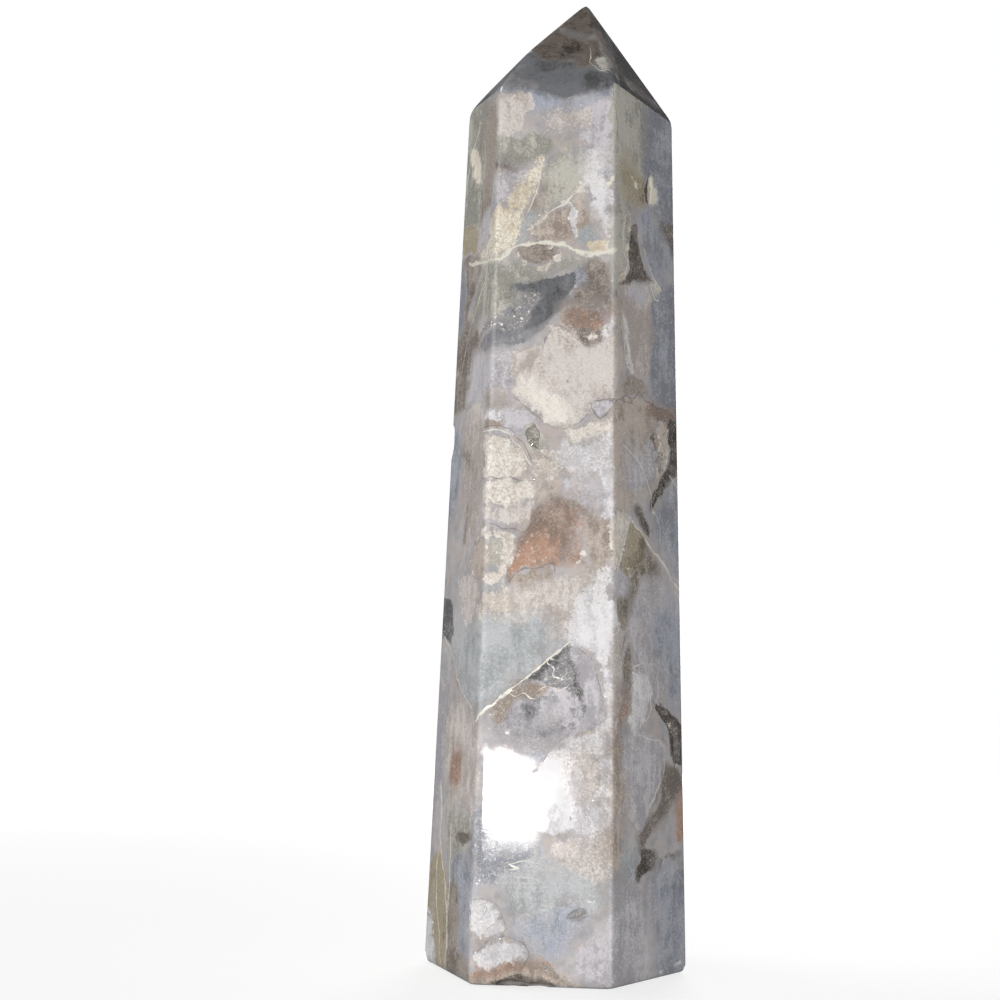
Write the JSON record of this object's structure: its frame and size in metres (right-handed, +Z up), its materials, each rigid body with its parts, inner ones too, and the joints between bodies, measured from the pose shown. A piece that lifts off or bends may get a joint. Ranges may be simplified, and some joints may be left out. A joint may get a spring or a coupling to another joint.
{
  "type": "flower agate tower",
  "caption": "Free-standing polished agate tower: tapering hexagonal shaft with an off-centre faceted point, chipped edges and small crystal-lined openings",
  "frame": {"origin": "middle of the bounding box in plan, on the flat base that the tower stands on", "axes": "+Z up along the tower to its point, -Y out of the front flat, +X to the right seen from the front"},
  "size_m": [0.0268, 0.0242, 0.105],
  "materials": {
    "agate": "polished translucent flower agate, cream and pink plumes in grey-blue and brown chalcedony"
  },
  "bodies": {
    "root": {"tower": "agate"}
  },
  "joints": []
}
